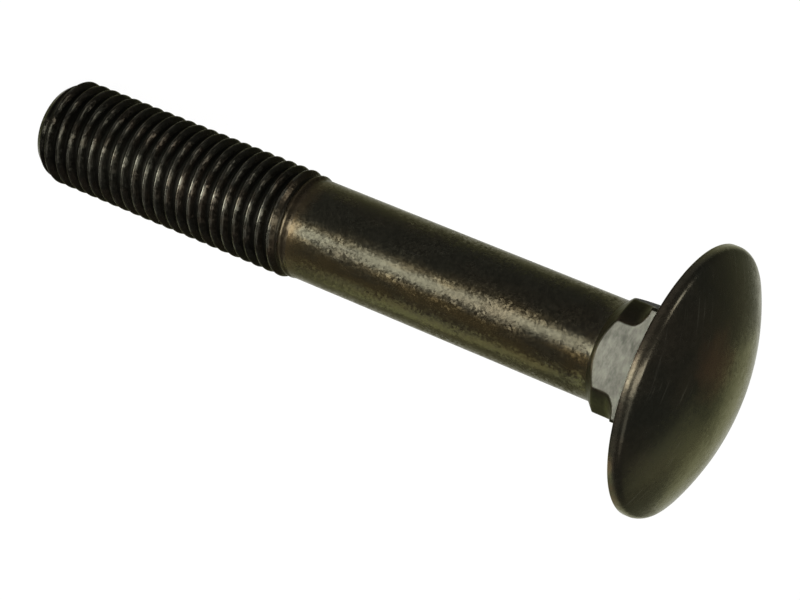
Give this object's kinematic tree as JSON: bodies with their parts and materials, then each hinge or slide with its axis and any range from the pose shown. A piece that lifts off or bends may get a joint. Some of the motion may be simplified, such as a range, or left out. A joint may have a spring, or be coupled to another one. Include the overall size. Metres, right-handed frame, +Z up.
{
  "type": "carriage bolt",
  "caption": "Carriage bolt with a low domed head, a square neck, a plain shank and a right-hand metric thread, in black oiled steel with bare steel on the neck.",
  "frame": {"origin": "on the bolt's axis in the plane of the head's bearing face, at the root of the square neck", "axes": "+Z up along the bolt's axis from the tip to the head; X and Y square to the neck's flats; the bolt stands on the flat end of its tip"},
  "size_m": [0.0388, 0.0388, 0.112],
  "materials": {
    "black_steel": "black oiled forging skin with a brown cast, semi-gloss, bare grey steel on the neck's flats"
  },
  "bodies": {
    "root": {"bolt": "black_steel"}
  },
  "joints": []
}
